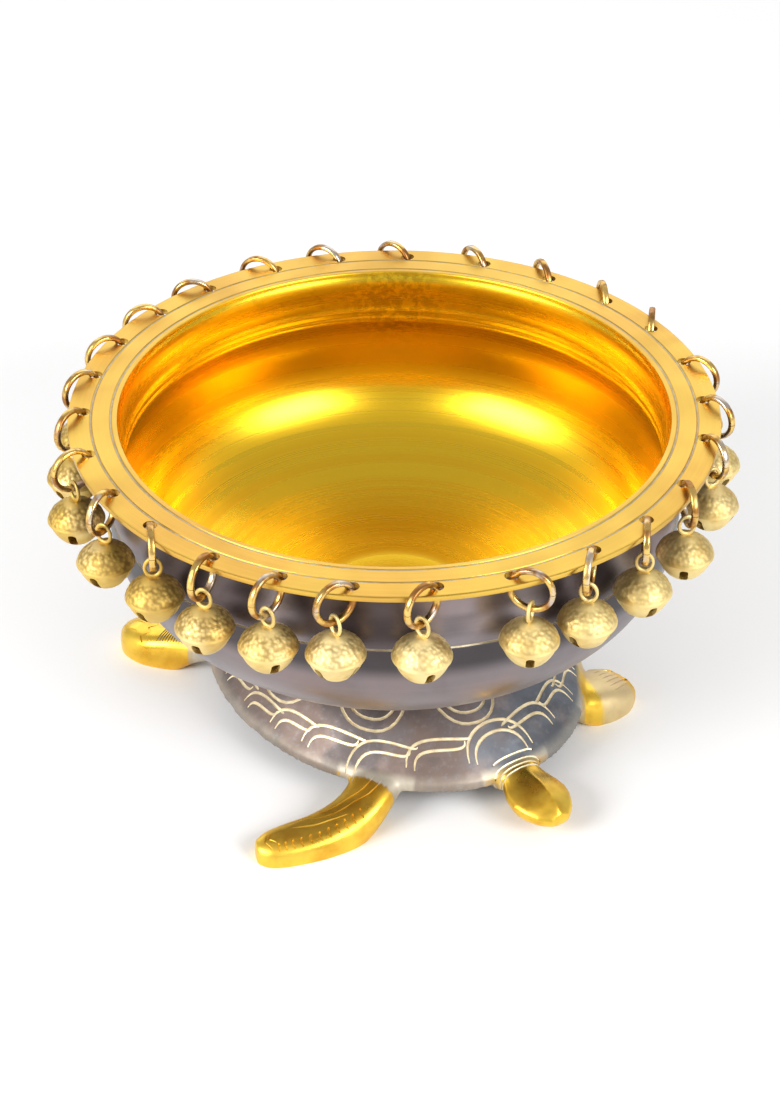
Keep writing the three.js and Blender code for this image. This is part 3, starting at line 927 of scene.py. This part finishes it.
class URLI_OT_tortoise(bpy.types.Operator):
    """Cast the tortoise, engrave its shell and limbs and finish its surface"""

    bl_idname = "urli.tortoise"
    bl_label = "Tortoise stand"

    def execute(self, context):
        s, colours = context.scene.urli_stand, context.scene.urli_colours
        inner_top = s.top - s.wall
        shell = dome(s, s.shell_length, s.shell_width, s.top, s.edge_height - s.lip, 26)
        cut(shell, dome(s, s.shell_length - 2 * s.wall, s.shell_width - 2 * s.wall, inner_top, -6 * MM, 16))
        boss_radius, boss_depth = 7.5 * MM, 7 * MM
        boss = rod(boss_radius, boss_depth + MM, (0, 0, inner_top - boss_depth / 2 + 0.5 * MM))
        limbs = [cast_limb(limb, 0.85 if limb is HEAD else 0.0) for limb in LIMBS]
        stand = named(joined([shell, boss, *limbs]), "tortoise")
        apply_modifier(stand, "REMESH", mode="VOXEL", voxel_size=s.grain)
        points = points_of(stand.data)
        weights = np.zeros(len(points))
        for limb in LIMBS:
            reach = np.linalg.norm(points - root_of(s, limb), axis=1)
            spread = 6 * MM if limb is HEAD else 10 * MM
            weights = np.maximum(weights, np.exp(-((reach / spread) ** 2)))
        set_group(stand, "fillets", weights)
        apply_modifier(stand, "SMOOTH", factor=0.5, iterations=24, vertex_group="fillets")
        apply_modifier(stand, "SMOOTH", factor=0.5, iterations=3)
        stand.vertex_groups.clear()
        edit(stand)
        bpy.ops.mesh.bisect(
            plane_co=(0, 0, 0), plane_no=(0, 0, -1), use_fill=True, clear_outer=True, threshold=0.001 * MM
        )
        edited()
        cut(stand, rod(BOLT_HOLE, 60 * MM, (0, 0, s.top)))
        bright_line = line_brass(colours, "engraved_line", 1.0, 0.42)
        # The third finish is a painted shadow, the dark colour of the grooves across the hind flippers' bright brass
        set_materials(stand, [cast_metal(colours), bright_line, line_brass(colours, "painted_shadow_line", 0.3, 0.5)])
        set_faces(stand, lambda middle, normal: BODY)
        self.engrave(stand, s)
        self.tint(stand, s)
        smooth(stand, 40)
        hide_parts("tortoise_stand")
        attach(stand, "bowl_on_stand")
        return {"FINISHED"}

    def engrave(self, stand, s):
        """Cut the scales, the shields and the limbs' lines, in batches of tubes that hardly cross."""
        scales = [scale_arch(s, *scale) for scale in EDGE_SCALES]
        inner_scales = [scale_arch(s, *scale, shrink=0.04) for scale in EDGE_SCALES]
        shields = [scute_arch(s, *shield, 0.5) for shield in SHIELDS]
        inner_shields = [scute_arch(s, *shield, 0.5, shrink=0.045) for shield in SHIELDS]
        batches = [scales[::2], scales[1::2], inner_scales, shields, inner_shields]
        batches = [[(line, s.line_radius, BRIGHT_LINE) for line in batch] for batch in batches]
        for batch in (*batches, self.limb_marks()):
            tubes = [groove_tube(points, radius, stand, number) for points, radius, number in batch]
            cut(stand, joined(tubes))

    def limb_marks(self):
        """The lines on the limbs: each one's points, radius and material number."""
        thin, fine = 0.36 * MM, 0.28 * MM
        feathers = [
            [(0.95, 0.0), (1.4, -0.05), (2.0, -0.3), (2.8, -0.42), (3.6, -0.62), (4.4, -0.7)],
            [(0.95, 0.38), (1.4, 0.3), (1.9, 0.05), (2.6, -0.05), (3.2, -0.3)],
            [(2.3, 0.3), (2.8, 0.15), (3.3, 0.05), (3.9, -0.2)],
        ]
        rows = [(RIGHT_FRONT, feather, thin, BODY) for feather in feathers]
        barbs = [[(t, 0.42), (t + 0.08, 0.6), (t + 0.05, 0.8)] for t in (1.9 + 0.27 * k for k in range(11))]
        tips = [[(4.95, 0.7), (5.25, 0.2), (5.0, -0.3)], [(4.7, 0.35), (5.0, 0.05), (4.8, -0.3)]]
        rows += [(RIGHT_FRONT, places, fine, BODY) for places in (*barbs, *tips)]
        for u in (-0.62 + 0.2 * k for k in range(6)):
            rows.append((LEFT_FRONT, [(2.55, u), (3.1, u + 0.04), (3.55, u + 0.02)], fine, BODY))
        for u in (-0.42, 0.34):
            rows.append((LEFT_FRONT, [(3.5, u), (3.8, u), (4.0, u)], 0.8 * MM, BODY))
        for limb, flip in ((RIGHT_HIND, 1), (LEFT_HIND, -1)):
            # Bands across the flipper's bright brass, cut in the painted shadow colour
            for k in range(11):
                edge, middle = 1.45 + 0.1 * k, 1.42 + 0.1 * k
                rows.append((limb, [(edge, -0.8), (middle, 0.0), (edge, 0.8)], 0.24 * MM, SHADOW_LINE))
            for u in (-0.5, 0.0, 0.5):
                rows.append((limb, [(3.55, flip * u), (4.1, flip * u * 1.1), (4.5, flip * u * 1.2)], fine, BODY))
            for u in (-0.6, -0.1, 0.4):
                scallop = [(2.95, flip * u), (3.2, flip * (u + 0.25)), (2.95, flip * (u + 0.48))]
                rows.append((limb, scallop, fine, BODY))
        marks = [(limb_mark(limb, places), radius, number) for limb, places, radius, number in rows]
        marks += [(band_mark(HEAD, t), 0.34 * MM, BRIGHT_LINE) for t in (0.62, 0.85, 1.2, 1.75, 2.15)]
        marks += [(band_mark(TAIL, 1.1 + 0.35 * k, 10, 170), fine, BRIGHT_LINE) for k in range(4)]
        return marks

    def tint(self, stand, s):
        """Mark where the brass is rubbed bright and where the shell's edge is worn pale."""
        points = points_of(stand.data)
        share = np.hypot(points[:, 0] / (s.shell_width / 2), points[:, 1] / (s.shell_length / 2))
        gold = np.zeros(len(points))
        near = np.zeros(len(points))
        for limb, start, full in GILT:
            gap, t = along_limb(points, limb)
            inside = 1 - ease(gap, 10.5 * MM, 11.5 * MM)
            near = np.maximum(near, inside * ease(t, start - 1.0, start))
            gold = np.maximum(gold, inside * ease(t, start, full))
        gold *= ease(share, 0.94, 0.99)
        gap, t = along_limb(points, LEFT_FRONT)
        pale = (1 - ease(gap, 10 * MM, 11 * MM)) * ease(t, 1.6, 1.9) * (1 - ease(t, 3.3, 3.8))
        gold *= 1 - 0.6 * pale
        lip = np.maximum(ease(share, 0.955, 0.995) * (1 - gold), 2 * pale)
        set_attribute(stand, "gilding", gold)
        set_attribute(stand, "rubbing", np.clip(lip * (0.3 + 0.6 * near), 0, 1))


# Rings, bells and fasteners


def model_ring(s):
    """A jump ring in the XZ plane, spun from a flattened section and left split."""
    clear_selection()
    bpy.ops.mesh.primitive_circle_add(vertices=18, radius=1.0, fill_type="NGON")
    section = bpy.context.object
    for vertex in section.data.vertices:
        x, y = vertex.co.x, vertex.co.y
        flat = math.copysign(abs(x) ** 0.8, x), math.copysign(abs(y) ** 0.62, y)
        vertex.co = (s.ring_mean + flat[0] * s.wire_thickness / 2, flat[1] * s.wire_width / 2, 0)
    edit(section)
    slit = s.ring_slit / s.ring_mean
    bpy.ops.transform.rotate(value=slit / 2, orient_axis="Y", center_override=(0, 0, 0))
    bpy.ops.mesh.spin(steps=72, angle=2 * math.pi - slit, center=(0, 0, 0), axis=(0, -1, 0))
    return named(close_up(), "ring_model")


# A bell's outside, from the middle underneath: shares of its radius and of its height
BELL_OUTSIDE = [
    (0.0, 0.0), (0.25, 0.0), (0.4, 0.006), (0.5, 0.03), (0.6, 0.085), (0.7, 0.16), (0.79, 0.245), (0.86, 0.33),
    (0.91, 0.41), (0.935, 0.46), (0.94, 0.478), (0.985, 0.484), (1.0, 0.5), (1.0, 0.525), (0.985, 0.545),
    (0.96, 0.6), (0.915, 0.665), (0.845, 0.73), (0.75, 0.79), (0.645, 0.845), (0.54, 0.89), (0.435, 0.93),
    (0.33, 0.968), (0.22, 1.0), (0.0, 1.0),
]


def bell_profiles(s):
    """The outlines of a bell and of its hollow, and the height of its underside."""
    radius, height, wall = s.bell_diameter / 2, s.bell_height, s.bell_wall
    floor = -s.bell_drop - height
    outside = [(r * radius, floor + h * height) for r, h in BELL_OUTSIDE]
    hollow = [
        (0.0, floor + height - 1.6 * wall),
        (0.3 * radius, floor + height - 2.2 * wall),
        (0.62 * radius, floor + 0.74 * height),
        (0.84 * radius, floor + 0.6 * height),
        (radius - wall, floor + 0.5 * height),
        (0.8 * radius, floor + 0.36 * height),
        (0.6 * radius, floor + 0.22 * height),
        (0.4 * radius, floor + wall + 0.02 * height),
        (0.0, floor + wall),
    ]
    return outside, hollow, floor


def fine_profile(points, most):
    """More points along a profile, no further apart than most."""
    fine = [points[0]]
    for a, b in zip(points, points[1:]):
        pieces = max(1, math.ceil(math.dist(a, b) / most))
        fine += [tuple(a[i] + (b[i] - a[i]) * k / pieces for i in (0, 1)) for k in range(1, pieces + 1)]
    return fine


def model_bell(s):
    """A hollow bell below the origin, with four slots, a ridge and a hammered shoulder."""
    outside, hollow, floor = bell_profiles(s)
    body = turned(fine_profile(outside, 0.36 * MM), 124)
    points = points_of(body.data)
    share = (points[:, 2] - floor) / s.bell_height
    set_group(body, "hammered", ease(share, 0.54, 0.6) * (1 - ease(share, 0.88, 0.97)))
    hammering = bpy.data.textures.new("hammering", "VORONOI")
    hammering.noise_scale = 1.0 * MM
    hammering.distance_metric = "DISTANCE"
    dents = {"strength": -0.22 * MM, "mid_level": 0.3, "vertex_group": "hammered"}
    apply_modifier(body, "DISPLACE", texture=hammering, texture_coords="LOCAL", **dents)
    body.vertex_groups.clear()
    middle = np.array([0, 0, floor + s.bell_height / 2])
    sunk = np.linalg.norm(points - middle, axis=1) - np.linalg.norm(points_of(body.data) - middle, axis=1)
    set_attribute(body, "hollows", ease(sunk, -0.02 * MM, 0.1 * MM))
    cut(body, turned(hollow, 48))
    slot_wide, slot_high, slot_height = 2.3 * MM, 4.7 * MM, floor + 0.245 * s.bell_height
    for turn in (0.0, math.pi / 2):
        clear_selection()
        bpy.ops.mesh.primitive_cube_add(size=1, enter_editmode=True)
        bpy.ops.transform.resize(value=(s.bell_diameter + MM, slot_wide, slot_high))
        bpy.ops.mesh.bevel(offset=0.9 * MM, segments=3, affect="EDGES")
        bpy.ops.transform.rotate(value=turn, orient_axis="Z", center_override=(0, 0, 0))
        bpy.ops.transform.translate(value=(0, 0, slot_height))
        cut(body, edited())
    return named(body, "bell_model")


def model_loop(s):
    """The bell's loop, standing in the YZ plane round the ring's wire."""
    inner = s.wire_width / 2 + 0.7 * MM
    stretch = 1.25
    drop = inner * stretch - s.wire_thickness / 2 - 0.35 * MM
    thick = s.loop_wire / 2
    sizes = {"major_radius": inner + thick, "minor_radius": thick, "major_segments": 40, "minor_segments": 14}
    clear_selection()
    bpy.ops.mesh.primitive_torus_add(rotation=(0, math.pi / 2, 0), **sizes)
    apply_place()
    edit(bpy.context.object)
    bpy.ops.transform.resize(value=(1, 1, stretch), center_override=(0, 0, 0))
    bpy.ops.transform.translate(value=(0, 0, -drop))
    return close_up()


def model_pellet(s):
    """The pellet, lying just above the bottom of the bell's hollow."""
    lowest = s.bell_wall - s.bell_drop - s.bell_height
    place = (0.5 * MM, 0.4 * MM, lowest + s.pellet / 2 + 0.05 * MM)
    clear_selection()
    bpy.ops.mesh.primitive_ico_sphere_add(subdivisions=3, radius=s.pellet / 2, location=place)
    apply_place()
    edit(bpy.context.object)
    bpy.ops.mesh.vertices_smooth(factor=0.2)
    return named(edited(), "pellet_model")


class URLI_OT_rings(bpy.types.Operator):
    """Bend one jump ring and hang a copy of it in each rim hole"""

    bl_idname = "urli.rings"
    bl_label = "Jump rings"

    def execute(self, context):
        finish = wire_brass(context.scene.urli_colours)
        model = model_ring(context.scene.urli_hangers)
        smooth(model, 50)
        set_materials(model, [finish])
        for tag, centre, _, turn in hang_frames():
            place = Matrix.Translation(centre) @ Matrix.Rotation(turn, 4, "Z")
            ring = moved_copy(model, f"jump_ring_{tag}", place)
            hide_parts(f"ring_{tag}")
            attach(ring, f"ring_{tag}")
        delete(model)
        return {"FINISHED"}


class URLI_OT_bells(bpy.types.Operator):
    """Model one bell and its pellet and hang a copy from each ring"""

    bl_idname = "urli.bells"
    bl_label = "Bells"

    def execute(self, context):
        s = context.scene.urli_hangers
        finish = bell_brass(context.scene.urli_colours)
        bell_model, loop_model, pellet_model = model_bell(s), model_loop(s), model_pellet(s)
        smooth(pellet_model, 60)
        for model in (bell_model, loop_model, pellet_model):
            set_materials(model, [finish])
        for number, (tag, _, hinge, turn) in enumerate(hang_frames()):
            place = Matrix.Translation(hinge) @ Matrix.Rotation(turn, 4, "Z")
            twist = Matrix.Rotation(number * GOLDEN_TURN, 4, "Z")
            bell = moved_copy(bell_model, f"hollow_bell_{tag}", place @ twist)
            cut(bell, moved_copy(loop_model, "loop", place), "UNION")
            smooth(bell, 42)
            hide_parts(f"bell_{tag}")
            pellet = moved_copy(pellet_model, f"pellet_{tag}", place)
            for piece in (bell, pellet):
                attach(piece, f"bell_{tag}")
        for model in (bell_model, loop_model, pellet_model):
            delete(model)
        return {"FINISHED"}


def thread(radius, low, high, pitch, depth):
    """A profile of thread turns from low to high."""
    root = radius - depth
    turns = int((high - low) / pitch)
    profile = []
    for z in (low + k * pitch for k in range(turns)):
        profile += [(root, z), (root, z + 0.15 * pitch), (radius, z + 0.5 * pitch), (radius, z + 0.65 * pitch)]
    return [*profile, (root, low + turns * pitch)]


class URLI_OT_fasteners(bpy.types.Operator):
    """Turn the domed bolt and make its nut"""

    bl_idname = "urli.fasteners"
    bl_label = "Bolt and nut"

    def execute(self, context):
        steel = plated_steel(context.scene.urli_colours)
        head_high, radius, head = 3 * MM, 3 * MM, 6 * MM
        seat, foot = bolt_high.z - head_high, bolt_low.z
        angles = np.linspace(0, math.pi / 2, 14)[:-1]
        profile = [
            (0.0, foot),
            (radius - 0.7 * MM, foot),
            *thread(radius, foot + 0.5 * MM, foot + 12 * MM, 1 * MM, 0.5 * MM),
            (radius - 0.1 * MM, foot + 12.4 * MM),
            (radius - 0.1 * MM, seat),
            (head - 0.3 * MM, seat),
            (head - 0.05 * MM, seat + 0.12 * MM),
            *((head * math.cos(a), seat + 0.28 * head_high + 0.72 * head_high * math.sin(a)) for a in angles),
            (0.0, bolt_high.z),
        ]
        bolt = named(turned(profile, 64), "domed_bolt")
        clear_selection()
        bpy.ops.mesh.primitive_cube_add(size=1, location=(0, 0, bolt_high.z), scale=(14 * MM, 1.2 * MM, 2.4 * MM))
        apply_place()
        cut(bolt, bpy.context.object)
        low, high, across, chamfer = nut_low.z, nut_high.z, 10 * MM, 0.45 * MM
        corner = across / math.sqrt(3)
        blank = rod(corner, high - low, (0, 0, (low + high) / 2), 6)
        blank.rotation_euler.z = math.pi / 6
        apply_place()
        nut = named(blank, "hex_nut")
        wide = corner + 0.02 * MM
        flat = across / 2
        cone = [(0.0, low), (flat, low), (wide, low + chamfer), (wide, high - chamfer), (flat, high), (0.0, high)]
        cut(nut, turned(cone, 64), "INTERSECT")
        bore = [(0.0, low - MM), (BOLT_HOLE, low - MM), (BOLT_HOLE, high + MM), (0.0, high + MM)]
        cut(nut, turned(bore, 48))
        for piece, node in ((bolt, "centre_bolt"), (nut, "bolt_nut")):
            smooth(piece, 30)
            set_materials(piece, [steel])
            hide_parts(node)
            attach(piece, "bowl_on_stand")
        return {"FINISHED"}


# Stage


def soft_light(name, place, wide, high, power):
    """A rectangular lamp that faces the middle of the bowl."""
    lamp = bpy.data.lights.new(name, "AREA")
    lamp.shape = "RECTANGLE"
    lamp.size, lamp.size_y = wide, high
    lamp.energy = power
    obj = bpy.data.objects.new(name, lamp)
    obj.location = place
    facing = Vector((0, 0, 0.06)) - Vector(place)
    obj.rotation_euler = facing.to_track_quat("-Z", "Y").to_euler()
    bpy.context.collection.objects.link(obj)


def from_camera_side(right, back, up):
    """A place given as seen from the camera: to its right, away from it, and up."""
    c, s = math.cos(CAMERA_TURN), math.sin(CAMERA_TURN)
    return (right * c + back * s, -right * s + back * c, up)


class URLI_OT_stage(bpy.types.Operator):
    """Lay the pale floor, and set the soft lights and the camera"""

    bl_idname = "urli.stage"
    bl_label = "Stage"

    def execute(self, context):
        clear_selection()
        bpy.ops.mesh.primitive_circle_add(vertices=96, radius=6, fill_type="NGON")
        floor = named(bpy.context.object, "floor")
        set_materials(floor, [floor_paint(context.scene.urli_colours)])
        world = bpy.data.worlds.new("studio")
        world.use_nodes = True
        sky = world.node_tree.nodes["Background"]
        sky.inputs["Color"].default_value = (1, 1, 1, 1)
        sky.inputs["Strength"].default_value = 0.55
        context.scene.world = world
        soft_light("left_box", from_camera_side(-0.78, -0.56, 0.58), 0.6, 0.45, 11.0)
        soft_light("right_box", from_camera_side(0.64, -0.62, 0.54), 0.5, 0.4, 7.5)
        soft_light("back_panel", from_camera_side(0.0, 1.25, 0.85), 2.2, 1.2, 9.0)
        camera = bpy.data.cameras.new("camera")
        camera.lens = 84.48
        camera.sensor_width = 36
        camera.clip_start, camera.clip_end = 0.01, 50
        eye = bpy.data.objects.new("camera", camera)
        eye.location = (-0.33411, -0.51234, 0.47720)
        eye.rotation_euler = (math.radians(54.88), 0, -CAMERA_TURN)
        bpy.context.collection.objects.link(eye)
        context.scene.camera = eye
        context.scene.view_settings.view_transform = "Standard"
        return {"FINISHED"}


class URLI_PT_panel(bpy.types.Panel):
    """The pieces of the urli, each with its own button"""

    bl_idname = "URLI_PT_panel"
    bl_label = "Urli bowl"
    bl_space_type = "VIEW_3D"
    bl_region_type = "UI"
    bl_category = "Urli"

    def draw(self, context):
        for operator in OPERATORS:
            self.layout.operator(operator.bl_idname)
        for group in GROUPS:
            box = self.layout.box()
            holder = getattr(context.scene, group)
            for key in holder.__annotations__:
                box.prop(holder, key)


OPERATORS = (URLI_OT_bowl, URLI_OT_tortoise, URLI_OT_rings, URLI_OT_bells, URLI_OT_fasteners, URLI_OT_stage)
GROUPS = {
    "urli_bowl": UrliBowlSizes,
    "urli_stand": UrliStandSizes,
    "urli_hangers": UrliHangerSizes,
    "urli_colours": UrliColours,
}


def register():
    for cls in (*GROUPS.values(), *OPERATORS, URLI_PT_panel):
        bpy.utils.register_class(cls)
    for name, group in GROUPS.items():
        setattr(bpy.types.Scene, name, bpy.props.PointerProperty(type=group))


def unregister():
    for name in GROUPS:
        delattr(bpy.types.Scene, name)
    for cls in reversed((*GROUPS.values(), *OPERATORS, URLI_PT_panel)):
        bpy.utils.unregister_class(cls)


def main():
    register()
    bpy.ops.urli.bowl()
    bpy.ops.urli.tortoise()
    bpy.ops.urli.rings()
    bpy.ops.urli.bells()
    bpy.ops.urli.fasteners()
    bpy.ops.urli.stage()
    bpy.context.view_layer.update()


if __name__ == "__main__":
    main()
